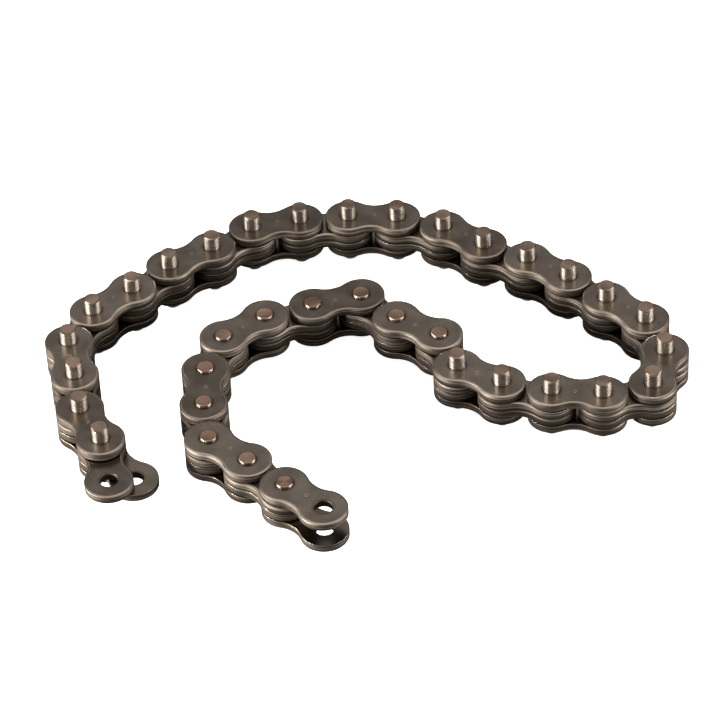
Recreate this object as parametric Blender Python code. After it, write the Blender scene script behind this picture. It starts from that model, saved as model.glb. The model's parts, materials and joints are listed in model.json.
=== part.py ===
"""Drive chain of 36 pitches, built from laced leaf plates and lying on its side in an open loop.

Every link turns about upright pins. An outer link is an upper and a lower plate riveted to two pins;
an inner link is two loose leaves that lie on each other between them. The first pin also carries two
end leaves, fanned apart, and the last outer link ends in an open fork with an empty hole. The pins of
outer links 1 to 12 run past the plates on both sides; those of links 13 to 18 are short rivets.
"""

import math

import bmesh
import bpy
from mathutils import Vector

# Driving dimensions, in metres. A head gap is left between two links that follow each other on one
# level, and a plate gap between the levels. The hole clearance is on the diameter.
PITCH = 0.0127
HEAD_GAP = 0.0006
WAIST_WIDTH = 0.0088
PLATE_THICKNESS = 0.0021
PLATE_GAP = 0.0003
PIN_DIAMETER = 0.0042
HOLE_CLEARANCE = 0.0004
EXTENDED_PIN_PROUD = 0.0040
EXTENDED_PIN_CHAMFER = 0.0004
SHORT_PIN_PROUD = 0.0007
SHORT_PIN_CHAMFER = 0.0003

# How finely round shapes are cut into flats.
HEAD_STEPS = 8
WAIST_STEPS = 3
ROUND_STEPS = 12
MERGE_DISTANCE = 0.00001
SHARP_EDGE = math.radians(40)

# The two steels: base colour, then roughness.
BLACKENED_STEEL = ((0.20, 0.185, 0.17), 0.38)
BRIGHT_STEEL = ((0.62, 0.58, 0.53), 0.22)

# Links are counted from the end leaves, outer and inner in turn. The middle one carries the others.
LINK_COUNT = 35
MIDDLE_LINK = 17
LAST_EXTENDED_LINK = 23

# The lay, in degrees: the heading of the middle link, then how far the chain turns at each pin.
MIDDLE_HEADING = -44
TURN_AT_PIN = {
    2: -18, 3: 1, 4: -36, 5: -23, 6: 3, 7: -12, 8: 5, 9: -25, 10: -9, 11: -7, 12: -16, 13: -16,
    14: 7, 15: -8, 16: -6, 17: 1, 18: -29, 19: -36, 20: -59, 21: -21, 22: -9, 23: -15, 24: -39,
    25: 37, 26: -12, 27: 60, 28: 3, 29: 18, 30: 35, 31: 19, 32: 7, 33: 43, 34: -4, 35: 2,
}
END_LEAF_TURN = {"upper": -16, "lower": 14}

# Sizes that follow from the driving ones.
HEAD_RADIUS = (PITCH - HEAD_GAP) / 2
HOLE_RADIUS = (PIN_DIAMETER + HOLE_CLEARANCE) / 2
STACK_BOTTOM = EXTENDED_PIN_PROUD
STACK_STEP = PLATE_THICKNESS + PLATE_GAP
STACK_TOP = STACK_BOTTOM + 3 * STACK_STEP + PLATE_THICKNESS
LAYER_FLOOR = {
    "lower_plate": STACK_BOTTOM,
    "lower_leaf": STACK_BOTTOM + STACK_STEP,
    "upper_leaf": STACK_BOTTOM + 2 * STACK_STEP,
    "upper_plate": STACK_BOTTOM + 3 * STACK_STEP,
}


def clear_scene():
    for old in list(bpy.data.objects):
        bpy.data.objects.remove(old, do_unlink=True)


def steel(name, colour, roughness):
    material = bpy.data.materials.new(name)
    material.use_nodes = True
    shader = material.node_tree.nodes["Principled BSDF"]
    shader.inputs["Base Color"].default_value = (*colour, 1.0)
    shader.inputs["Metallic"].default_value = 1.0
    shader.inputs["Roughness"].default_value = roughness
    return material


def arc(centre_x, centre_y, radius, start, end, steps):
    """Points along an arc, both ends included."""
    turns = [start + (end - start) * step / steps for step in range(steps + 1)]
    return [(centre_x + radius * math.cos(t), centre_y + radius * math.sin(t)) for t in turns]


def plate_outline():
    """Figure-eight outline from the pin at x = 0 to the pin at x = PITCH, drawn anticlockwise.

    Each waist is an arc that is tangent to both round heads.
    """
    half_pitch = PITCH / 2
    half_waist = WAIST_WIDTH / 2
    chord = half_pitch ** 2 + half_waist ** 2 - HEAD_RADIUS ** 2
    waist_radius = chord / (2 * (HEAD_RADIUS - half_waist))
    waist_centre = half_waist + waist_radius
    lean = math.atan2(waist_centre, half_pitch)
    far_head = arc(PITCH, 0, HEAD_RADIUS, lean - math.pi, math.pi - lean, HEAD_STEPS)
    top_waist = arc(half_pitch, waist_centre, waist_radius, -lean, lean - math.pi, WAIST_STEPS)
    near_head = arc(0, 0, HEAD_RADIUS, lean, 2 * math.pi - lean, HEAD_STEPS)
    low_waist = arc(half_pitch, -waist_centre, waist_radius, math.pi - lean, lean, WAIST_STEPS)
    return far_head + top_waist[1:-1] + near_head + low_waist[1:-1]


def closed_loop(bm, points):
    """Edges that join the points in a ring at z = 0."""
    corners = [bm.verts.new((x, y, 0)) for x, y in points]
    return [bm.edges.new((corners[i - 1], corners[i])) for i in range(len(corners))]


def finished_mesh(bm, name, materials):
    bmesh.ops.recalc_face_normals(bm, faces=bm.faces)
    mesh = bpy.data.meshes.new(name)
    bm.to_mesh(mesh)
    bm.free()
    for material in materials:
        mesh.materials.append(material)
    mesh.shade_smooth()
    mesh.set_sharp_from_angle(angle=SHARP_EDGE)
    return mesh


def plate_mesh(name, material, holes_at):
    """One plate, its lower face at z = 0, with a hole at each x in holes_at."""
    bm = bmesh.new()
    edges = closed_loop(bm, plate_outline())
    for x in holes_at:
        edges += closed_loop(bm, arc(x, 0, HOLE_RADIUS, 0, 2 * math.pi, ROUND_STEPS)[:-1])
    bmesh.ops.triangle_fill(bm, use_beauty=True, edges=edges)
    raised = bmesh.ops.extrude_face_region(bm, geom=bm.faces[:], use_keep_orig=True)
    raised_verts = [item for item in raised["geom"] if isinstance(item, bmesh.types.BMVert)]
    bmesh.ops.translate(bm, vec=(0, 0, PLATE_THICKNESS), verts=raised_verts)
    return finished_mesh(bm, name, [material])


def pin_mesh(name, material, proud, chamfer):
    """One turned pin that stands proud of the whole stack by the same length at both ends."""
    radius = PIN_DIAMETER / 2
    low = STACK_BOTTOM - proud
    high = STACK_TOP + proud
    profile = [
        (0, low),
        (radius - chamfer, low),
        (radius, low + chamfer),
        (radius, high - chamfer),
        (radius - chamfer, high),
        (0, high),
    ]
    bm = bmesh.new()
    corners = [bm.verts.new((x, 0, z)) for x, z in profile]
    edges = [bm.edges.new(pair) for pair in zip(corners, corners[1:])]
    bmesh.ops.spin(
        bm, geom=corners + edges, cent=(0, 0, 0), axis=(0, 0, 1), dvec=(0, 0, 0),
        angle=2 * math.pi, steps=ROUND_STEPS, use_merge=True,
    )
    bmesh.ops.remove_doubles(bm, verts=bm.verts, dist=MERGE_DISTANCE)
    return finished_mesh(bm, name, [material])


def new_object(name, data, parent, location):
    piece = bpy.data.objects.new(name, data)
    bpy.context.collection.objects.link(piece)
    piece.parent = parent
    piece.location = location
    return piece


def riveted_link_mesh(name, plate, pin):
    """Two plates and two pins as the one solid that riveting makes of them."""
    body = new_object("union_body", plate, None, (0, 0, LAYER_FLOOR["lower_plate"]))
    others = [
        new_object("union_plate", plate, None, (0, 0, LAYER_FLOOR["upper_plate"])),
        new_object("union_pin_near", pin, None, (0, 0, 0)),
        new_object("union_pin_far", pin, None, (PITCH, 0, 0)),
    ]
    # Pins first: each joins the plates, so that no step leaves two loose bodies behind.
    for other in others[1:] + others[:1]:
        union = body.modifiers.new(other.name, "BOOLEAN")
        union.operation = "UNION"
        union.solver = "EXACT"
        union.material_mode = "TRANSFER"
        union.object = other
    graph = bpy.context.evaluated_depsgraph_get()
    mesh = bpy.data.meshes.new_from_object(body.evaluated_get(graph), depsgraph=graph)
    mesh.name = name
    mesh.transform(body.matrix_world)
    mesh.set_sharp_from_angle(angle=SHARP_EDGE)
    for piece in [body] + others:
        bpy.data.objects.remove(piece, do_unlink=True)
    return mesh


def new_carrier(name, parent, x, degrees):
    """An empty on a pin's axis. What hangs on it turns about that pin."""
    carrier = new_object(name, None, parent, (x, 0, 0))
    carrier.rotation_euler.z = math.radians(degrees)
    return carrier


def lay_carriers():
    """One carrier for each link, from the middle link outwards, with where its near pin is."""
    middle = new_carrier("middle_carrier", None, 0, MIDDLE_HEADING)
    carriers = {MIDDLE_LINK: (middle, 0)}
    parent, reach = middle, PITCH
    for link in range(MIDDLE_LINK + 1, LINK_COUNT + 1):
        parent = new_carrier(f"carrier_{link:02d}", parent, reach, TURN_AT_PIN[link])
        carriers[link] = (parent, 0)
    parent, reach = middle, 0
    for link in range(MIDDLE_LINK - 1, 0, -1):
        parent = new_carrier(f"carrier_{link:02d}", parent, reach, -TURN_AT_PIN[link + 1])
        carriers[link] = (parent, -PITCH)
        reach = -PITCH
    return carriers


def add_split_link(prefix, carrier, x, plates, pins):
    """An outer link whose plates and pins stay separate pieces."""
    for layer in ("upper_plate", "lower_plate"):
        new_object(f"{prefix}_{layer}", plates, carrier, (x, 0, LAYER_FLOOR[layer]))
    for name, pin, pin_x in pins:
        new_object(name, pin, carrier, (x + pin_x, 0, 0))


def add_links(carriers, meshes):
    """Every full link: odd ones are outer links and even ones are pairs of inner leaves."""
    for link, (carrier, x) in carriers.items():
        number = (link + 1) // 2
        if link % 2 == 0:
            for layer in ("upper_leaf", "lower_leaf"):
                height = LAYER_FLOOR[layer]
                new_object(f"inner_{link // 2:02d}_{layer}", meshes["leaf"], carrier, (x, 0, height))
        elif link == 1:
            pins = [
                ("outer_01_first_pin", meshes["extended_pin"], 0),
                ("outer_01_second_pin", meshes["extended_pin"], PITCH),
            ]
            add_split_link("outer_01", carrier, x, meshes["plate"], pins)
        elif link == LINK_COUNT:
            pins = [("fork_pin", meshes["short_pin"], 0)]
            add_split_link("fork", carrier, x, meshes["plate"], pins)
        else:
            kind = "extended" if link <= LAST_EXTENDED_LINK else "short"
            new_object(f"outer_{number:02d}_{kind}_link", meshes[f"{kind}_link"], carrier, (x, 0, 0))


def add_end_leaves(first_carrier, leaf):
    """Two leaves on the first pin, pointing away from the chain and fanned apart."""
    for side, degrees in END_LEAF_TURN.items():
        carrier = new_carrier(f"end_{side}_carrier", first_carrier, -PITCH, degrees)
        new_object(f"end_leaf_{side}", leaf, carrier, (-PITCH, 0, LAYER_FLOOR[f"{side}_leaf"]))


def centre_over_origin(top_carrier):
    """Move the chain so that the middle of its footprint stands over the origin."""
    bpy.context.view_layer.update()
    places = [
        piece.matrix_world @ vert.co
        for piece in bpy.data.objects
        if piece.type == "MESH"
        for vert in piece.data.vertices
    ]
    low = Vector(min(place[i] for place in places) for i in range(2))
    high = Vector(max(place[i] for place in places) for i in range(2))
    top_carrier.location.xy = -(low + high) / 2
    bpy.context.view_layer.update()


def build():
    clear_scene()
    blackened = steel("blackened_plate_steel", *BLACKENED_STEEL)
    bright = steel("bright_pin_steel", *BRIGHT_STEEL)
    extended_pin = pin_mesh("extended_pin", bright, EXTENDED_PIN_PROUD, EXTENDED_PIN_CHAMFER)
    short_pin = pin_mesh("short_pin", bright, SHORT_PIN_PROUD, SHORT_PIN_CHAMFER)
    blank = plate_mesh("blank_plate", blackened, [])
    drilled = plate_mesh("drilled_plate", blackened, [0, PITCH])
    meshes = {
        "plate": drilled,
        "leaf": drilled,
        "extended_pin": extended_pin,
        "short_pin": short_pin,
        "extended_link": riveted_link_mesh("extended_link", blank, extended_pin),
        "short_link": riveted_link_mesh("short_link", blank, short_pin),
    }
    carriers = lay_carriers()
    add_links(carriers, meshes)
    add_end_leaves(carriers[1][0], meshes["leaf"])
    centre_over_origin(carriers[MIDDLE_LINK][0])


build()
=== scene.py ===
# %% [markdown]
# # A drive chain, link by link
# The real chain is stamped steel plates on plain pins: an outer link is two plates riveted to two pins,
# and an inner link is two loose leaves between them. This lesson lays fine plates and turned pins exactly
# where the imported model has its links, and gives each steel its own finish.

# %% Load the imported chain
import json
import math

import bpy
from mathutils import Matrix, Vector


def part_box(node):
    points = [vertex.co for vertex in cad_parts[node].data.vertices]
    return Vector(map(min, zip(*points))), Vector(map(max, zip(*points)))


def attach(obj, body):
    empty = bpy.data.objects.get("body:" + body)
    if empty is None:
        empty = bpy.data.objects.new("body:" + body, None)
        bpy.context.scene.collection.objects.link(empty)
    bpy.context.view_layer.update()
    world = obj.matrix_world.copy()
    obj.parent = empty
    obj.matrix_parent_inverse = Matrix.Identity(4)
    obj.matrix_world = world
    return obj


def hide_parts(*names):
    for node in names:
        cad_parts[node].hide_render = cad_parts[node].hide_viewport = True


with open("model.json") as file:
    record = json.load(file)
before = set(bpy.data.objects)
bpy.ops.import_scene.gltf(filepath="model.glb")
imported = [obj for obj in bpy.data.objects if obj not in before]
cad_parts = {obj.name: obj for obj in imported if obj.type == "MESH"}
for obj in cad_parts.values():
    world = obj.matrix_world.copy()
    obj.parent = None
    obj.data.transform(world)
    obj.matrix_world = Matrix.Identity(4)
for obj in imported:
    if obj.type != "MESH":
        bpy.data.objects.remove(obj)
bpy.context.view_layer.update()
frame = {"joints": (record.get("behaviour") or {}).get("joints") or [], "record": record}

# %% [markdown]
# The camera comes first, so that every later choice can be judged through it. A long lens from some way
# off keeps the plates' proportions true. The camera leans a little to one side, as a hand-held one does.

# %% Camera
VIEW_ELEVATION = math.radians(41.8)
VIEW_LEAN = math.radians(2.9)
VIEW_DISTANCE = 0.9615
VIEW_TARGET = Vector((-0.0014, 0.0124, 0.0))
LENS_MM = 189

lens = bpy.data.cameras.new("studio_camera")
lens.lens = LENS_MM
lens.clip_start = 0.01
camera = bpy.data.objects.new("studio_camera", lens)
bpy.context.scene.collection.objects.link(camera)
back_off = Vector((0, -math.cos(VIEW_ELEVATION), math.sin(VIEW_ELEVATION))) * VIEW_DISTANCE
tilt = Matrix.Rotation(math.pi / 2 - VIEW_ELEVATION, 4, "X")
lean = Matrix.Rotation(-VIEW_LEAN, 4, "Z")
camera.matrix_world = Matrix.Translation(VIEW_TARGET + back_off) @ tilt @ lean
bpy.context.scene.camera = camera
print("camera stands at", tuple(round(value, 3) for value in camera.matrix_world.translation))

# %% [markdown]
# Node trees are easier to read when one short call makes a node, sets it up and feeds it. The same few
# helpers serve the floor, the steels and the Geometry Nodes further down.

# %% Node helpers
def add_node(tree, kind, feeds=None, **settings):
    """A new node. Feeds are values, or the sockets of other nodes, by input name or number."""
    node = tree.nodes.new(kind)
    for name, value in settings.items():
        setattr(node, name, value)
    for key, value in (feeds or {}).items():
        if isinstance(value, bpy.types.NodeSocket):
            tree.links.new(value, node.inputs[key])
        else:
            node.inputs[key].default_value = value
    return node


def calculate(tree, operation, first, second=0.0, clamp=False):
    """The result of one Math node."""
    feeds = {0: first, 1: second}
    return add_node(tree, "ShaderNodeMath", feeds, operation=operation, use_clamp=clamp).outputs[0]


def mix(tree, factor, first, second):
    """One colour faded into another."""
    feeds = {0: factor, 6: first, 7: second}
    return add_node(tree, "ShaderNodeMix", feeds, data_type="RGBA").outputs[2]


def ramp(tree, value, low, high, start=0.0, end=1.0):
    """The value's way from low to high, as a number from start to end."""
    feeds = {"Value": value, "From Min": low, "From Max": high, "To Min": start, "To Max": end}
    return add_node(tree, "ShaderNodeMapRange", feeds, clamp=True).outputs["Result"]


def vector_of(tree, **parts):
    """A vector with these parts, X, Y or Z, and 0 for the rest."""
    return add_node(tree, "ShaderNodeCombineXYZ", parts).outputs[0]


def parts_of(tree, vector):
    """The X, Y and Z of a vector, by name."""
    return add_node(tree, "ShaderNodeSeparateXYZ", {0: vector}).outputs


def new_material(name):
    """A new material, its node tree and its Principled shader."""
    material = bpy.data.materials.new(name)
    material.use_nodes = True
    return material, material.node_tree, material.node_tree.nodes["Principled BSDF"]


print("helpers: add_node, calculate, mix, ramp, vector_of, parts_of, new_material")

# %% [markdown]
# Dark steel shows what is around it, so the flats show the room, which is pale above and dark below. A
# broad lamp overhead lights the rolled edges, and two low ones at the sides draw the bright strips down the
# pins. The floor is kept out of reflections, because a white floor close by would wash out the dark walls.

# %% Floor, lamps and surroundings
FLOOR_SIZE = 8.0
FLOOR_GAP = 0.00005
PAPER_COLOUR = (0.93, 0.93, 0.93, 1)
PAPER_ROUGHNESS = 0.9
PAPER_GLOW = 0.85
ROOM_BELOW = (0.065, 0.056, 0.048, 1)
ROOM_ABOVE = (0.78, 0.765, 0.75, 1)
# The heights, on a sphere of radius 1, where the room's fade from dark to pale starts and ends.
ROOM_FADE = (-0.2, 0.85)
WHITE = (1, 1, 1, 1)
# Name, place, watts, width, height, colour.
LAMPS = (
    ("overhead_lamp", (0.0, 0.15, 0.90), 6.5, 1.4, 0.7, (1.0, 0.985, 0.97)),
    ("left_lamp", (-0.72, -0.22, 0.085), 31.0, 0.60, 0.15, (1.0, 0.98, 0.95)),
    ("right_lamp", (0.72, -0.22, 0.085), 14.0, 0.60, 0.15, (1.0, 0.98, 0.95)),
)


def add_lamp(name, place, watts, width, height, colour):
    light = bpy.data.lights.new(name, "AREA")
    light.shape = "RECTANGLE"
    light.energy = watts
    light.size = width
    light.size_y = height
    light.color = colour
    lamp = bpy.data.objects.new(name, light)
    bpy.context.scene.collection.objects.link(lamp)
    lamp.location = place
    lamp.rotation_euler = Vector(place).to_track_quat("Z", "Y").to_euler()


half_floor = FLOOR_SIZE / 2
corners = [(x * half_floor, y * half_floor, -FLOOR_GAP) for x, y in ((-1, -1), (1, -1), (1, 1), (-1, 1))]
floor_mesh = bpy.data.meshes.new("floor")
floor_mesh.from_pydata(corners, [], [(0, 1, 2, 3)])
floor = bpy.data.objects.new("floor", floor_mesh)
bpy.context.scene.collection.objects.link(floor)
floor.visible_glossy = False
floor_paper, _, paper_shader = new_material("floor_paper")
paper_shader.inputs["Base Color"].default_value = PAPER_COLOUR
paper_shader.inputs["Roughness"].default_value = PAPER_ROUGHNESS
paper_shader.inputs["Specular IOR Level"].default_value = 0.0
paper_shader.inputs["Emission Color"].default_value = WHITE
paper_shader.inputs["Emission Strength"].default_value = PAPER_GLOW
floor_mesh.materials.append(floor_paper)
for lamp in LAMPS:
    add_lamp(*lamp)

surroundings = bpy.data.worlds.new("studio")
surroundings.use_nodes = True
sky = surroundings.node_tree
direction = add_node(sky, "ShaderNodeTexCoord").outputs["Generated"]
rise = ramp(sky, parts_of(sky, direction)["Z"], *ROOM_FADE)
room = mix(sky, rise, ROOM_BELOW, ROOM_ABOVE)
seen = add_node(sky, "ShaderNodeLightPath").outputs["Is Camera Ray"]
shown = mix(sky, seen, room, WHITE)
sky.links.new(shown, sky.nodes["Background"].inputs["Color"])
bpy.context.scene.world = surroundings
bpy.context.scene.view_settings.view_transform = "Standard"
print("lamps:", ", ".join(lamp[0] for lamp in LAMPS))

# %% [markdown]
# Everything hangs on the pins, so the next step is to find where they stand. The hinges in the packed
# record give all but the last one. A plate has the same shape at both ends, so the middle of its box is
# halfway between its pins, and that gives the empty holes at the two ends of the chain.

# %% Where the pins stand
LAST_LINK = 35


def far_end(node, near):
    """Where the other hole of a plate is, given the pin that it turns on."""
    low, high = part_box(node)
    return Vector((low.x + high.x - near.x, low.y + high.y - near.y, 0))


def floor_and_top(node):
    low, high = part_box(node)
    return low.z, high.z


pins = {}
for joint in frame["joints"]:
    x, y, _ = joint["pos_m"]
    number = 1 if joint["name"].startswith("end") else int(joint["name"].split("_")[1])
    pins[number] = Vector((x, y, 0))
pins[LAST_LINK + 1] = far_end("fork_upper_plate", pins[LAST_LINK])
PITCH = (pins[2] - pins[1]).length
outer_floors = floor_and_top("fork_lower_plate")[0], floor_and_top("fork_upper_plate")[0]
inner_floors = floor_and_top("inner_01_lower_leaf")[0], floor_and_top("inner_01_upper_leaf")[0]
plate_floor, plate_top = floor_and_top("fork_lower_plate")
PLATE_THICKNESS = plate_top - plate_floor
print(f"{len(pins)} pin places, pitch {PITCH * 1000:.2f} mm, plates {PLATE_THICKNESS * 1000:.2f} mm thick")

# %% [markdown]
# A stamped plate is two round heads joined by a waist, and each waist is an arc that just touches both
# heads. The outline is drawn once from that rule. The edge of a real plate is slightly rolled by the
# punch and by tumbling, so the outline stays clear of sharp corners when it is swept into a wall.

# %% The plate's outline
HEAD_RADIUS = 0.00605
HALF_WAIST = 0.0044
HOLE_RADIUS = 0.0023
PRESSED_HOLE_RADIUS = 0.00213
HEAD_STEPS = 30
WAIST_STEPS = 12


def arc(centre, radius, start, end, steps):
    """Points along an arc, without its last one, which the next arc begins with."""
    turns = [start + (end - start) * step / steps for step in range(steps)]
    return [(centre[0] + radius * math.cos(t), centre[1] + radius * math.sin(t), 0) for t in turns]


def plate_outline():
    chord = (PITCH / 2) ** 2 + HALF_WAIST ** 2 - HEAD_RADIUS ** 2
    waist_radius = chord / (2 * (HEAD_RADIUS - HALF_WAIST))
    waist_centre = HALF_WAIST + waist_radius
    touch = math.atan2(waist_centre, PITCH / 2)
    return (
        arc((PITCH, 0), HEAD_RADIUS, touch - math.pi, math.pi - touch, HEAD_STEPS)
        + arc((PITCH / 2, waist_centre), waist_radius, -touch, touch - math.pi, WAIST_STEPS)
        + arc((0, 0), HEAD_RADIUS, touch, 2 * math.pi - touch, HEAD_STEPS)
        + arc((PITCH / 2, -waist_centre), waist_radius, math.pi - touch, touch, WAIST_STEPS)
    )


def line_object(name, points, closed):
    """A mesh of edges only, which Geometry Nodes can read as a curve."""
    edges = [(i, i + 1) for i in range(len(points) - 1)]
    if closed:
        edges.append((len(points) - 1, 0))
    mesh = bpy.data.meshes.new(name)
    mesh.from_pydata(points, edges, [])
    line = bpy.data.objects.new(name, mesh)
    bpy.context.scene.collection.objects.link(line)
    return line


outline = line_object("plate_outline", plate_outline(), closed=True)
print("outline corners:", len(outline.data.vertices))

# %% [markdown]
# The wall of a plate, and of each hole, is one small section swept round a closed line: a tight round at
# the bottom, a straight side, and at the top the wide soft roll that a stamping die leaves. The section
# is a node group, because the outer edge and the holes use it with different rounds. Its `edge` attribute
# is 1 in the middle of each round, which is where real plates are rubbed bright.

# %% A section with rounded edges
ROUND_STEPS = 4


def new_geometry_tree(name, inputs, modifier=True):
    tree = bpy.data.node_groups.new(name, "GeometryNodeTree")
    tree.is_modifier = modifier
    for label, kind in inputs:
        tree.interface.new_socket(label, in_out="INPUT", socket_type=kind)
    tree.interface.new_socket("Geometry", in_out="OUTPUT", socket_type="NodeSocketGeometry")
    return tree, tree.nodes.new("NodeGroupInput").outputs, tree.nodes.new("NodeGroupOutput").inputs


def fade(tree, factor, first, second):
    """The first number where the factor is 0 and the second where it is 1."""
    way = calculate(tree, "SUBTRACT", second, first)
    return calculate(tree, "ADD", first, calculate(tree, "MULTIPLY", factor, way))


def stored(tree, geometry, name, value, domain, kind="FLOAT"):
    """The geometry with a value kept on it as a named attribute."""
    feeds = {"Geometry": geometry, "Name": name, "Value": value}
    settings = {"domain": domain, "data_type": kind}
    return add_node(tree, "GeometryNodeStoreNamedAttribute", feeds, **settings).outputs[0]


def rounded_section():
    """The section as a curve. A sweep turns its X into the way out of the line and its Y into down."""
    labels = ("Thickness", "Roll Width", "Roll Height", "Lower Round", "Way Out")
    inputs = [(label, "NodeSocketFloat") for label in labels]
    tree, given, result = new_geometry_tree("rounded_section", inputs, modifier=False)
    line = add_node(tree, "GeometryNodeMeshLine", {"Count": 2 * ROUND_STEPS + 2}).outputs["Mesh"]
    index = add_node(tree, "GeometryNodeInputIndex").outputs[0]
    upper = calculate(tree, "GREATER_THAN", index, ROUND_STEPS + 0.5)
    step = calculate(tree, "SUBTRACT", calculate(tree, "SUBTRACT", index, ROUND_STEPS), upper)
    angle = calculate(tree, "MULTIPLY", step, math.pi / 2 / ROUND_STEPS)
    width = fade(tree, upper, given["Lower Round"], given["Roll Width"])
    tall = fade(tree, upper, given["Lower Round"], given["Roll Height"])
    drawn_in = calculate(tree, "SUBTRACT", calculate(tree, "COSINE", angle), 1.0)
    out = calculate(tree, "MULTIPLY", calculate(tree, "MULTIPLY", drawn_in, width), given["Way Out"])
    side = calculate(tree, "SUBTRACT", calculate(tree, "MULTIPLY", upper, 2.0), 1.0)
    half = calculate(tree, "MULTIPLY", given["Thickness"], 0.5)
    straight = calculate(tree, "MULTIPLY", side, calculate(tree, "SUBTRACT", half, tall))
    bow = calculate(tree, "MULTIPLY", calculate(tree, "SINE", angle), tall)
    height = calculate(tree, "ADD", calculate(tree, "ADD", half, straight), bow)
    down = calculate(tree, "MULTIPLY", height, -1.0)
    place = vector_of(tree, X=out, Y=down)
    bent = add_node(tree, "GeometryNodeSetPosition", {"Geometry": line, "Position": place}).outputs[0]
    brightened = calculate(tree, "ABSOLUTE", calculate(tree, "SINE", calculate(tree, "MULTIPLY", angle, 2.0)))
    marked = stored(tree, bent, "edge", brightened, "POINT")
    curve = add_node(tree, "GeometryNodeMeshToCurve", {"Mesh": marked}).outputs[0]
    tree.links.new(curve, result["Geometry"])
    return tree


section_group = rounded_section()
print("nodes in the section:", len(section_group.nodes))

# %% [markdown]
# A laid link is two plates, one over the other, each with its rolled edge on the chain's outside. The tree
# sweeps the wall round the outline and round two circles, fills what is left open between them, and merges
# the seams into one closed plate. It then sets two instances of it at their heights, turns them to the
# link's heading and moves them to the pin. Each instance carries a random `tone`, because no two plates
# come out of the blackening bath alike, and `plate_place` says where on the plate a point is.

# %% The tree that lays plates
CIRCLE_STEPS = 40
SEAM = 0.000001
OUTER_WALL = 1.0
HOLE_WALL = 2.0


def swept(tree, line, sizes, wall):
    """A closed line with the rounded section swept round it, marked with what kind of wall it is."""
    section = add_node(tree, "GeometryNodeGroup", sizes, node_tree=section_group).outputs[0]
    upright = add_node(tree, "GeometryNodeSetCurveNormal", {"Curve": line}, mode="Z_UP").outputs[0]
    feeds = {"Curve": upright, "Profile Curve": section}
    mesh = add_node(tree, "GeometryNodeCurveToMesh", feeds).outputs[0]
    return stored(tree, mesh, "wall", wall, "FACE")


def joined(tree, *parts):
    join = add_node(tree, "GeometryNodeJoinGeometry")
    for part in parts:
        tree.links.new(part, join.inputs[0])
    return join.outputs[0]


def flat_face(tree, walls, chosen, height):
    """What fills the chosen open edges of the walls, as a flat face at this height."""
    loops = add_node(tree, "GeometryNodeMeshToCurve", {"Mesh": walls, "Selection": chosen}).outputs[0]
    flat = add_node(tree, "GeometryNodeFillCurve", {"Curve": loops}).outputs[0]
    feeds = {"Geometry": flat, "Shade Smooth": False}
    flat = add_node(tree, "GeometryNodeSetShadeSmooth", feeds).outputs[0]
    lift = vector_of(tree, Z=height)
    return add_node(tree, "GeometryNodeTransform", {"Geometry": flat, "Translation": lift}).outputs[0]


def closed_plate(tree, outline_mesh, given):
    """The nodes that make one closed plate, its lower face at height 0."""
    sizes = {"Thickness": given["Thickness"], "Lower Round": given["Lower Round"]}
    rim = add_node(tree, "GeometryNodeMeshToCurve", {"Mesh": outline_mesh}).outputs[0]
    roll = {"Roll Width": given["Roll Width"], "Roll Height": given["Roll Height"]}
    outside = swept(tree, rim, {**sizes, **roll, "Way Out": 1.0}, OUTER_WALL)
    outside = add_node(tree, "GeometryNodeFlipFaces", {"Mesh": outside}).outputs[0]
    feeds = {"Resolution": CIRCLE_STEPS, "Radius": 1.0}
    circle = add_node(tree, "GeometryNodeCurvePrimitiveCircle", feeds).outputs[0]
    number = add_node(tree, "GeometryNodeInputIndex").outputs[0]
    radius = fade(tree, number, given["Near Hole"], given["Far Hole"])
    reach = vector_of(tree, X=given["Pitch"])
    centres = add_node(tree, "GeometryNodeMeshLine", {"Count": 2, "Offset": reach}).outputs[0]
    feeds = {"Points": centres, "Instance": circle, "Scale": radius}
    circles = add_node(tree, "GeometryNodeInstanceOnPoints", feeds).outputs[0]
    circles = add_node(tree, "GeometryNodeRealizeInstances", {"Geometry": circles}).outputs[0]
    hole_round = given["Lower Round"]
    hole_sizes = {**sizes, "Roll Width": hole_round, "Roll Height": hole_round, "Way Out": -1.0}
    walls = joined(tree, outside, swept(tree, circles, hole_sizes, HOLE_WALL))
    faces_at_edge = add_node(tree, "GeometryNodeInputMeshEdgeNeighbors").outputs[0]
    is_open = calculate(tree, "LESS_THAN", faces_at_edge, 1.5)
    position = add_node(tree, "GeometryNodeInputPosition").outputs[0]
    level = parts_of(tree, position)["Z"]
    is_high = calculate(tree, "GREATER_THAN", level, calculate(tree, "MULTIPLY", given["Thickness"], 0.5))
    is_low = calculate(tree, "SUBTRACT", 1.0, is_high)
    top = flat_face(tree, walls, calculate(tree, "MULTIPLY", is_open, is_high), given["Thickness"])
    bottom = flat_face(tree, walls, calculate(tree, "MULTIPLY", is_open, is_low), 0.0)
    bottom = add_node(tree, "GeometryNodeFlipFaces", {"Mesh": bottom}).outputs[0]
    feeds = {"Geometry": joined(tree, walls, top, bottom), "Distance": SEAM}
    merged = add_node(tree, "GeometryNodeMergeByDistance", feeds).outputs[0]
    return stored(tree, merged, "plate_place", position, "POINT", "FLOAT_VECTOR")


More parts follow.
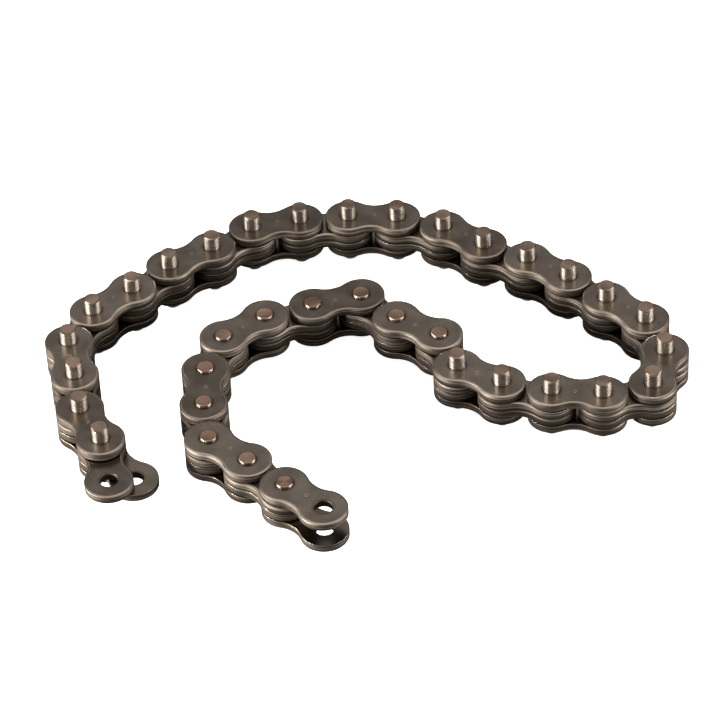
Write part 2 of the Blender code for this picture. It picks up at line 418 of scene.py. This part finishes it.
def lay_and_finish(tree, repeated, given, result):
    """Turn and move what was repeated, give it its tones, realize it and set its material."""
    turn = vector_of(tree, Z=given["Heading"])
    index = add_node(tree, "GeometryNodeInputIndex").outputs[0]
    tone = add_node(tree, "FunctionNodeRandomValue", {"ID": index, "Seed": given["Seed"]}).outputs["Value"]
    toned = stored(tree, repeated, "tone", tone, "INSTANCE")
    feeds = {"Geometry": toned, "Translation": given["Near Pin"], "Rotation": turn}
    laid = add_node(tree, "GeometryNodeTransform", feeds).outputs[0]
    real = add_node(tree, "GeometryNodeRealizeInstances", {"Geometry": laid}).outputs[0]
    steel = add_node(tree, "GeometryNodeSetMaterial", {"Geometry": real, "Material": given["Material"]})
    tree.links.new(steel.outputs[0], result["Geometry"])


LAY_INPUTS = [
    ("Geometry", "NodeSocketGeometry"), ("Pitch", "NodeSocketFloat"), ("Near Pin", "NodeSocketVector"),
    ("Heading", "NodeSocketFloat"), ("Seed", "NodeSocketInt"), ("Material", "NodeSocketMaterial"),
]


def plate_tree():
    sizes = (
        "Thickness", "Roll Width", "Roll Height", "Lower Round", "Near Hole", "Far Hole",
        "Lower Floor", "Upper Floor", "Lower Turn",
    )
    inputs = LAY_INPUTS + [(label, "NodeSocketFloat") for label in sizes] + [("Count", "NodeSocketInt")]
    tree, given, result = new_geometry_tree("laid_plates", inputs)
    plate = closed_plate(tree, given["Geometry"], given)
    half = calculate(tree, "MULTIPLY", given["Thickness"], 0.5)
    down = vector_of(tree, Z=calculate(tree, "MULTIPLY", half, -1.0))
    centred = add_node(tree, "GeometryNodeTransform", {"Geometry": plate, "Translation": down}).outputs[0]
    start = vector_of(tree, Z=calculate(tree, "ADD", given["Lower Floor"], half))
    rise = calculate(tree, "SUBTRACT", given["Upper Floor"], given["Lower Floor"])
    feeds = {"Count": given["Count"], "Start Location": start, "Offset": vector_of(tree, Z=rise)}
    levels = add_node(tree, "GeometryNodeMeshLine", feeds).outputs[0]
    index = add_node(tree, "GeometryNodeInputIndex").outputs[0]
    is_lower = calculate(tree, "LESS_THAN", index, 0.5)
    turned = vector_of(tree, X=calculate(tree, "MULTIPLY", is_lower, given["Lower Turn"]))
    feeds = {"Points": levels, "Instance": centred, "Rotation": turned}
    plates = add_node(tree, "GeometryNodeInstanceOnPoints", feeds).outputs[0]
    lay_and_finish(tree, plates, given, result)
    return tree


laid_plates = plate_tree()
print("nodes in the plate tree:", len(laid_plates.nodes))

# %% [markdown]
# Pins are turned parts, so a pin is half of its section swept round a circle. The section's own points
# lie on the axis at both ends, where the sweep closes into a pole. An extended pin has a plain chamfer.
# A short one is peened over its plate, which leaves a rounded rim and a slightly sunk middle.

# %% The tree that stands pins
CORE = 0.0005
PIN_RADIUS = 0.0021
TURNED_STEPS = 40
LONG_CHAMFER = 0.00026
SHORT_FLAT_RADIUS = 0.0015
SHORT_DISH = 0.00005
SHORT_ROUND_WIDTH = 0.00028
SHORT_ROUND_HEIGHT = 0.00026
# The dish is level out to this share of its radius, and its rim is at this share of its depth.
DISH_LEVEL = 0.92
DISH_RIM = 0.9


def pin_tree():
    inputs = LAY_INPUTS + [("Count", "NodeSocketInt")]
    tree, given, result = new_geometry_tree("standing_pins", inputs)
    half = add_node(tree, "GeometryNodeMeshToCurve", {"Mesh": given["Geometry"]}).outputs[0]
    feeds = {"Geometry": half, "Offset": (-CORE, 0, 0)}
    moved = add_node(tree, "GeometryNodeSetPosition", feeds).outputs[0]
    feeds = {"Resolution": TURNED_STEPS, "Radius": CORE}
    circle = add_node(tree, "GeometryNodeCurvePrimitiveCircle", feeds).outputs[0]
    feeds = {"Curve": circle, "Profile Curve": moved}
    turned = add_node(tree, "GeometryNodeCurveToMesh", feeds).outputs[0]
    feeds = {"Geometry": turned, "Distance": SEAM}
    pin = add_node(tree, "GeometryNodeMergeByDistance", feeds).outputs[0]
    feeds = {"Count": given["Count"], "Offset": vector_of(tree, X=given["Pitch"])}
    places = add_node(tree, "GeometryNodeMeshLine", feeds).outputs[0]
    feeds = {"Points": places, "Instance": pin}
    standing = add_node(tree, "GeometryNodeInstanceOnPoints", feeds).outputs[0]
    lay_and_finish(tree, standing, given, result)
    return tree


def pin_section(low, high, end_points):
    """Half of a pin's section, from the top end to the bottom one, mirrored about its middle.

    End points run from the axis to the pin's side: distance from the axis, and depth below the end.
    """
    top = [(radius, -(high - depth), 0) for radius, depth in end_points]
    bottom = [(radius, -(low + depth), 0) for radius, depth in reversed(end_points)]
    return top + bottom


def rounded_end(flat_radius, flat_depth, round_width, round_height, steps=8):
    """A flat end, sunk by flat_depth in its middle, with an elliptic round to the pin's side."""
    points = [(0, flat_depth), (flat_radius * DISH_LEVEL, flat_depth)]
    points += [(flat_radius, flat_depth * DISH_RIM), (PIN_RADIUS - round_width, 0)]
    for step in range(1, steps + 1):
        turn = math.pi / 2 * step / steps
        radius = PIN_RADIUS - round_width * (1 - math.sin(turn))
        points.append((radius, round_height * (1 - math.cos(turn))))
    return points


def chamfered_end(chamfer):
    """A flat end with a plain chamfer."""
    return [(0, 0), (PIN_RADIUS - chamfer, 0), (PIN_RADIUS, chamfer)]


long_low, long_high = floor_and_top("outer_01_first_pin")
short_low, short_high = floor_and_top("fork_pin")
standing_pins = pin_tree()
extended_half = pin_section(long_low, long_high, chamfered_end(LONG_CHAMFER))
peened_end = rounded_end(SHORT_FLAT_RADIUS, SHORT_DISH, SHORT_ROUND_WIDTH, SHORT_ROUND_HEIGHT)
short_half = pin_section(short_low, short_high, peened_end)
pin_halves = {
    "extended": line_object("extended_pin_half", extended_half, closed=False),
    "short": line_object("short_pin_half", short_half, closed=False),
}
long_mm = 1000 * (long_high - long_low)
short_mm = 1000 * (short_high - short_low)
print(f"long pins {long_mm:.1f} mm, short pins {short_mm:.1f} mm")

# %% [markdown]
# The steels share one finish: slow clouds from the bath, fine grain from tumbling, and thin scratches.
# It is a shader group, so each steel can take it at its own scale. The noise reads object coordinates,
# and since every piece keeps its origin at the world's centre, the pattern never slides on a plate.

# %% A group for tumbled steel
# Noise drawn out one way: fine across a scratch and slow along it, for scratches that run two ways.
SCRATCH_STRETCH = (2600, 90, 90)
SCRATCH_TURNS = (0.5, 2.2)
SCRATCH_CUT = (0.66, 0.74)
# Fine from bottom to top and slow along a wall, as shearing leaves it.
LINE_STRETCH = (70, 70, 2300)


def noise(tree, vector, scale, detail):
    feeds = {"Vector": vector, "Scale": scale, "Detail": detail}
    return add_node(tree, "ShaderNodeTexNoise", feeds).outputs[0]


def stretched(tree, vector, scale, turn=0.0):
    feeds = {"Vector": vector, "Scale": scale, "Rotation": (0, 0, turn)}
    return add_node(tree, "ShaderNodeMapping", feeds).outputs[0]


def tumbled_steel_group():
    tree = bpy.data.node_groups.new("tumbled_steel", "ShaderNodeTree")
    tree.interface.new_socket("Vector", in_out="INPUT", socket_type="NodeSocketVector")
    for label in ("Cloud Scale", "Grain Scale"):
        tree.interface.new_socket(label, in_out="INPUT", socket_type="NodeSocketFloat")
    for label in ("Clouds", "Grain", "Scratches", "Lines"):
        tree.interface.new_socket(label, in_out="OUTPUT", socket_type="NodeSocketFloat")
    given = tree.nodes.new("NodeGroupInput").outputs
    result = tree.nodes.new("NodeGroupOutput").inputs
    vector = given["Vector"]
    clouds = noise(tree, vector, given["Cloud Scale"], 3.0)
    grain = noise(tree, vector, given["Grain Scale"], 4.0)
    one_way, other_way = (
        ramp(tree, noise(tree, stretched(tree, vector, SCRATCH_STRETCH, turn), 1.0, 2.0), *SCRATCH_CUT)
        for turn in SCRATCH_TURNS
    )
    scratches = calculate(tree, "MAXIMUM", one_way, other_way)
    lines = noise(tree, stretched(tree, vector, LINE_STRETCH), 1.0, 3.0)
    made = {"Clouds": clouds, "Grain": grain, "Scratches": scratches, "Lines": lines}
    for label, value in made.items():
        tree.links.new(value, result[label])
    return tree


tumbled_steel = tumbled_steel_group()
group_sockets = tumbled_steel.interface.items_tree
print("outputs of the group:", [item.name for item in group_sockets if item.in_out == "OUTPUT"])

# %% [markdown]
# A finish needs to know where on the plate it is. The plates carry that as attributes, and a few masks are
# worked out from them: the rubbed edge, the sheared wall, the inside of a hole, the oil stain, the painted
# shade of the gap round each pin, and the small ring that a stamp leaves in the middle of an outer plate.

# %% Masks on a plate
MARK_RADIUS = 0.00042
MARK_LINE = 0.00009
MARK_PLACE = (PITCH * 0.54, HALF_WAIST * 0.08)
STAIN_REACH = 0.0011
STAIN_STRENGTH = 0.75
# Painted shade: a dark ring on the plate round each pin, standing for the shadow in the gap beside it.
GAP_SHADE_START = 0.0001
GAP_SHADE_REACH = 0.00055
GAP_SHADE_STRENGTH = 0.85


def attribute(tree, name, output="Fac"):
    return add_node(tree, "ShaderNodeAttribute", attribute_name=name).outputs[output]


def finish_nodes(tree, cloud_scale, grain_scale):
    """The outputs of the group, with one steel's scales of clouds and grain."""
    place = add_node(tree, "ShaderNodeTexCoord").outputs["Object"]
    feeds = {"Vector": place, "Cloud Scale": cloud_scale, "Grain Scale": grain_scale}
    return add_node(tree, "ShaderNodeGroup", feeds, node_tree=tumbled_steel).outputs


def distance_from(tree, place, x, y):
    """How far a plate's point is from one place on the plate, seen from above."""
    parts = parts_of(tree, place)
    feeds = {0: vector_of(tree, X=parts["X"], Y=parts["Y"]), 1: (x, y, 0)}
    return add_node(tree, "ShaderNodeVectorMath", feeds, operation="DISTANCE").outputs["Value"]


def plate_masks(tree, finish, has_mark):
    """What a point of a plate is part of, as numbers up to 1."""
    edge = attribute(tree, "edge")
    wall = attribute(tree, "wall")
    place = attribute(tree, "plate_place", "Vector")
    to_first_pin = distance_from(tree, place, 0, 0)
    near = calculate(tree, "MINIMUM", to_first_pin, distance_from(tree, place, PITCH, 0))
    stain = ramp(tree, near, PIN_RADIUS, PIN_RADIUS + STAIN_REACH, STAIN_STRENGTH, 0.0)
    patchy = ramp(tree, finish["Clouds"], 0.3, 0.6, 0.4, 1.0)
    from_mark = distance_from(tree, place, *MARK_PLACE)
    off_line = calculate(tree, "ABSOLUTE", calculate(tree, "SUBTRACT", from_mark, MARK_RADIUS))
    ring = ramp(tree, off_line, 0.0, MARK_LINE, 1.0, 0.0)
    on_wall = calculate(tree, "GREATER_THAN", wall, 0.5)
    return {
        "edge": edge,
        "side": calculate(tree, "MULTIPLY", on_wall, calculate(tree, "SUBTRACT", 1.0, edge)),
        "hole": calculate(tree, "GREATER_THAN", wall, 1.5),
        "stain": calculate(tree, "MULTIPLY", stain, patchy),
        "gap": ramp(tree, near, PIN_RADIUS + GAP_SHADE_START, PIN_RADIUS + GAP_SHADE_REACH, GAP_SHADE_STRENGTH, 0.0),
        "ring": calculate(tree, "MULTIPLY", ring, has_mark),
    }


print("ring stamped at", tuple(round(value * 1000, 2) for value in MARK_PLACE), "mm from the first pin")

# %% [markdown]
# Blackened plate steel is a thin dark oxide with a warm cast, a little different on each plate. It is
# browner where oil dries and a trace brighter where it is rubbed. The sheared walls are rougher, and fine
# lines run along them. The walls and the insides of the holes are painted darker as shade, a ring of
# painted shade lies round each pin, and the lines on the walls are painted lighter as highlights. Colour,
# roughness and a little bump come from the group and from the masks.

# %% Plate steels
PLATE_CLOUDS = 160.0
PLATE_GRAIN = 2200.0
TONE_SHARE = 0.6
# The nearly black colour of the painted shade round each pin.
GAP_SHADE_COLOUR = (0.02, 0.016, 0.012, 1)
# How strongly each mask fades the colour: to the brighter steel of wear, which also paints a highlight on
# the wall lines, or to the dark brown of oil, which also paints shade on the walls and in the holes.
RING_RUBBED = 0.45
SCRATCH_RUBBED = 0.07
EDGE_RUBBED = 0.06
STREAK_SHEEN = 0.42
SIDE_SHADE = 0.85
HOLE_SHADE = 0.8
FLAT_ROUGHNESS = (0.20, 0.27)
SIDE_ROUGHER = 0.30
HOLE_ROUGHER = 0.1
# Heights against each other, before the bump's own depth in metres.
GRAIN_HEIGHT = 0.03
LINE_HEIGHT = 4.0
PLATE_BUMP = {"Strength": 0.35, "Distance": 0.00006}


def fade_by(tree, colour, mask, strength, other):
    """The colour, faded to the other one by a mask times a strength."""
    return mix(tree, calculate(tree, "MULTIPLY", mask, strength), colour, other)


def plate_colour(tree, finish, masks, dark, light, brightened, oil_and_shade):
    tone = calculate(tree, "MULTIPLY", attribute(tree, "tone"), TONE_SHARE)
    cloudy = ramp(tree, finish["Clouds"], 0.35, 0.65, 0.0, 1.0 - TONE_SHARE)
    colour = mix(tree, calculate(tree, "ADD", tone, cloudy), dark, light)
    colour = mix(tree, masks["stain"], colour, oil_and_shade)
    # Painted shade: the plate is darkened nearly to black in a ring round each pin.
    colour = mix(tree, masks["gap"], colour, GAP_SHADE_COLOUR)
    colour = fade_by(tree, colour, masks["ring"], RING_RUBBED, brightened)
    colour = fade_by(tree, colour, finish["Scratches"], SCRATCH_RUBBED, brightened)
    grainy = ramp(tree, finish["Grain"], 0.35, 0.65, 0.35, 0.9)
    worn = calculate(tree, "MULTIPLY", masks["edge"], grainy)
    colour = fade_by(tree, colour, worn, EDGE_RUBBED, brightened)
    # Painted shade: the walls are darkened most of the way to the dark brown.
    colour = fade_by(tree, colour, masks["side"], SIDE_SHADE, oil_and_shade)
    # The lines are real shear marks in the bump, and their lighter colour is a painted highlight.
    lines = ramp(tree, finish["Lines"], 0.50, 0.62, 0.0, STREAK_SHEEN)
    colour = fade_by(tree, colour, masks["side"], lines, brightened)
    # Painted shade: the insides of the holes are darkened further.
    return fade_by(tree, colour, masks["hole"], HOLE_SHADE, oil_and_shade)


def plate_roughness(tree, finish, masks):
    roughness = ramp(tree, finish["Clouds"], 0.3, 0.7, *FLAT_ROUGHNESS)
    side = calculate(tree, "MULTIPLY", masks["side"], SIDE_ROUGHER)
    hole = calculate(tree, "MULTIPLY", masks["hole"], HOLE_ROUGHER)
    roughness = calculate(tree, "ADD", roughness, side)
    return calculate(tree, "ADD", roughness, hole, clamp=True)


def plate_relief(tree, finish, masks):
    """The height of the surface: grain, the lines on the walls, and the ring sunk into it."""
    lines = calculate(tree, "MULTIPLY", masks["side"], LINE_HEIGHT)
    ridges = calculate(tree, "MULTIPLY", finish["Lines"], lines)
    relief = calculate(tree, "ADD", calculate(tree, "MULTIPLY", finish["Grain"], GRAIN_HEIGHT), ridges)
    return calculate(tree, "SUBTRACT", relief, masks["ring"])


def plate_steel(name, dark, light, brightened, oil_and_shade, has_mark):
    material, tree, shader = new_material(name)
    finish = finish_nodes(tree, PLATE_CLOUDS, PLATE_GRAIN)
    masks = plate_masks(tree, finish, has_mark)
    colour = plate_colour(tree, finish, masks, dark, light, brightened, oil_and_shade)
    tree.links.new(colour, shader.inputs["Base Color"])
    tree.links.new(plate_roughness(tree, finish, masks), shader.inputs["Roughness"])
    shader.inputs["Metallic"].default_value = 1.0
    feeds = {"Height": plate_relief(tree, finish, masks), **PLATE_BUMP}
    tree.links.new(add_node(tree, "ShaderNodeBump", feeds).outputs[0], shader.inputs["Normal"])
    return material


outer_plate_steel = plate_steel(
    "outer_plate_steel", (0.086, 0.070, 0.056, 1), (0.200, 0.168, 0.139, 1),
    (0.46, 0.41, 0.355, 1), (0.074, 0.057, 0.043, 1), 1.0,
)
inner_leaf_steel = plate_steel(
    "inner_leaf_steel", (0.089, 0.072, 0.058, 1), (0.195, 0.164, 0.136, 1),
    (0.50, 0.445, 0.385, 1), (0.078, 0.060, 0.045, 1), 0.0,
)
print("plate steels:", outer_plate_steel.name, inner_leaf_steel.name)

# %% [markdown]
# Pins are ground bright, but their ends keep the brown skin of the bar they were cut from. The ends are
# told from the sides by the way their surface faces. Grinding runs round a pin, so it spreads highlights
# along the pin: the shader's own anisotropy, turned by a quarter, draws them out into upright strips.

# %% Pin steels
PIN_CLOUDS = 420.0
PIN_GRAIN = 2600.0
# How upright a surface faces, from where the side's finish ends to where the end's begins.
END_FACING = (0.15, 0.4)
END_TONE_SHARE = 0.5
SCRATCH_COLOUR = (0.5, 0.43, 0.37, 1)
SCRATCH_STRENGTH = 0.1
SIDE_ROUGHNESS = 0.28
GRAIN_ROUGHNESS = 0.015
PIN_BUMP = {"Strength": 0.3, "Distance": 0.00005}


def pin_colour(tree, finish, on_end, side, side_tint, end, end_tint):
    side_colour = mix(tree, ramp(tree, finish["Clouds"], 0.35, 0.7), side, side_tint)
    tone = calculate(tree, "MULTIPLY", attribute(tree, "tone"), END_TONE_SHARE)
    cloudy = ramp(tree, finish["Clouds"], 0.3, 0.7, 0.0, 1.0 - END_TONE_SHARE)
    end_colour = mix(tree, calculate(tree, "ADD", tone, cloudy), end, end_tint)
    colour = mix(tree, on_end, side_colour, end_colour)
    return fade_by(tree, colour, finish["Scratches"], SCRATCH_STRENGTH, SCRATCH_COLOUR)


def pin_steel(name, side, side_tint, end, end_tint, end_roughness):
    material, tree, shader = new_material(name)
    finish = finish_nodes(tree, PIN_CLOUDS, PIN_GRAIN)
    facing = add_node(tree, "ShaderNodeNewGeometry").outputs["Normal"]
    upright = calculate(tree, "ABSOLUTE", parts_of(tree, facing)["Z"])
    on_end = ramp(tree, upright, *END_FACING)
    colour = pin_colour(tree, finish, on_end, side, side_tint, end, end_tint)
    tree.links.new(colour, shader.inputs["Base Color"])
    fine = ramp(tree, finish["Grain"], 0.3, 0.7, -GRAIN_ROUGHNESS, GRAIN_ROUGHNESS)
    roughness = ramp(tree, on_end, 0.0, 1.0, SIDE_ROUGHNESS, end_roughness)
    roughness = calculate(tree, "ADD", roughness, fine, clamp=True)
    tree.links.new(roughness, shader.inputs["Roughness"])
    shader.inputs["Metallic"].default_value = 1.0
    shader.inputs["Anisotropic"].default_value = 0.8
    shader.inputs["Anisotropic Rotation"].default_value = 0.25
    feeds = {"Height": calculate(tree, "MULTIPLY", finish["Grain"], on_end), **PIN_BUMP}
    tree.links.new(add_node(tree, "ShaderNodeBump", feeds).outputs[0], shader.inputs["Normal"])
    return material


extended_pin_steel = pin_steel(
    "extended_pin_steel", (0.72, 0.66, 0.59, 1), (0.50, 0.43, 0.36, 1),
    (0.145, 0.104, 0.079, 1), (0.225, 0.165, 0.127, 1), 0.36,
)
short_pin_steel = pin_steel(
    "short_pin_steel", (0.42, 0.36, 0.30, 1), (0.30, 0.24, 0.19, 1),
    (0.150, 0.096, 0.069, 1), (0.225, 0.152, 0.114, 1), 0.34,
)
pin_steels = {"extended": extended_pin_steel, "short": short_pin_steel}
print("pin steels:", ", ".join(steel.name for steel in pin_steels.values()))

# %% [markdown]
# A tree's inputs are set through a modifier by their identifiers. Evaluating the object gives the laid
# plates, `new_from_object` keeps them as a plain mesh, and the modifier goes away again. The new piece
# stays at the world's origin, with its place in its mesh, and rides on its body.

# %% From tree to piece
def grown_mesh(host, tree, values, sharp_angle=None):
    """The plain mesh that a tree makes from a host line with these input values."""
    modifier = host.modifiers.new(tree.name, "NODES")
    modifier.node_group = tree
    for item in tree.interface.items_tree:
        if item.in_out == "INPUT" and item.name in values:
            modifier[item.identifier] = values[item.name]
    graph = bpy.context.evaluated_depsgraph_get()
    mesh = bpy.data.meshes.new_from_object(host.evaluated_get(graph), depsgraph=graph)
    host.modifiers.remove(modifier)
    mesh.materials.clear()
    mesh.materials.append(values["Material"])
    if sharp_angle:
        mesh.set_sharp_from_angle(angle=sharp_angle)
    return mesh


def new_piece(name, mesh, body, stands_for):
    piece = bpy.data.objects.new(name, mesh)
    bpy.context.scene.collection.objects.link(piece)
    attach(piece, body)
    if stands_for:
        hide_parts(*stands_for)
    return piece


def lay_values(near, far, seed, material):
    """The inputs that both trees share: where the link lies, and its steel."""
    way = far - near
    heading = math.atan2(way.y, way.x)
    return {"Pitch": PITCH, "Near Pin": near, "Heading": heading, "Seed": seed, "Material": material}


PLATE_SIZES = {
    "Thickness": PLATE_THICKNESS, "Roll Width": 0.00055, "Roll Height": 0.00020,
    "Lower Round": 0.00008, "Near Hole": HOLE_RADIUS, "Far Hole": HOLE_RADIUS, "Lower Turn": math.pi,
}
print("inputs set on every plate:", ", ".join(PLATE_SIZES))

# %% [markdown]
# Now the chain is laid. Odd links are outer ones and even links are inner ones. A piece stands for the
# nodes of its body that it shows: the plates for the plate nodes, or for a whole riveted link, and the
# pins for the nodes that are pins by themselves.

# %% Lay the links
# Outer links up to this one have extended pins, and the later ones have short pins.
LAST_EXTENDED_LINK = 23
PIN_SHARP_EDGE = math.radians(15)


def lay_link(link):
    """Every piece of one link."""
    number = (link + 1) // 2
    is_outer = link % 2 == 1
    body = f"outer_link_{number:02d}" if is_outer else f"inner_link_{number:02d}"
    nodes = frame["record"]["behaviour"]["bodies"][body]
    pin_nodes = [node for node in nodes if node.endswith("_pin")]
    plate_nodes = [node for node in nodes if node not in pin_nodes]
    floors = outer_floors if is_outer else inner_floors
    material = outer_plate_steel if is_outer else inner_leaf_steel
    values = lay_values(pins[link], pins[link + 1], link, material)
    values.update(PLATE_SIZES, Count=2, **{"Lower Floor": floors[0], "Upper Floor": floors[1]})
    if is_outer:
        values["Near Hole"] = PRESSED_HOLE_RADIUS
        values["Far Hole"] = HOLE_RADIUS if link == LAST_LINK else PRESSED_HOLE_RADIUS
    name = f"outer_{number:02d}_plates" if is_outer else f"inner_{number:02d}_leaves"
    made = [new_piece(name, grown_mesh(outline, laid_plates, values), body, plate_nodes)]
    if is_outer:
        kind = "extended" if link <= LAST_EXTENDED_LINK else "short"
        values = lay_values(pins[link], pins[link + 1], link, pin_steels[kind])
        values["Count"] = 1 if link == LAST_LINK else 2
        mesh = grown_mesh(pin_halves[kind], standing_pins, values, PIN_SHARP_EDGE)
        made.append(new_piece(f"outer_{number:02d}_pins", mesh, body, pin_nodes))
    return made


pieces = [piece for link in range(1, LAST_LINK + 1) for piece in lay_link(link)]
print("pieces on links:", len(pieces))

# %% [markdown]
# The two end leaves turn on the first pin, each on its own hinge, so each is a piece by itself. The tree
# is the same, with a count of one.

# %% Lay the end leaves
for side, seed in (("upper", 101), ("lower", 102)):
    node = f"end_leaf_{side}"
    level = floor_and_top(node)[0]
    values = lay_values(pins[1], far_end(node, pins[1]), seed, inner_leaf_steel)
    turn = math.pi if side == "lower" else 0.0
    values.update(PLATE_SIZES, Count=1, **{"Lower Floor": level, "Upper Floor": level, "Lower Turn": turn})
    mesh = grown_mesh(outline, laid_plates, values)
    pieces.append(new_piece(f"{node}_plate", mesh, node, [node]))

for line in [outline, *pin_halves.values()]:
    bpy.data.objects.remove(line, do_unlink=True)
triangles = sum(len(face.vertices) - 2 for piece in pieces for face in piece.data.polygons)
print("all pieces:", len(pieces), "triangles:", triangles)
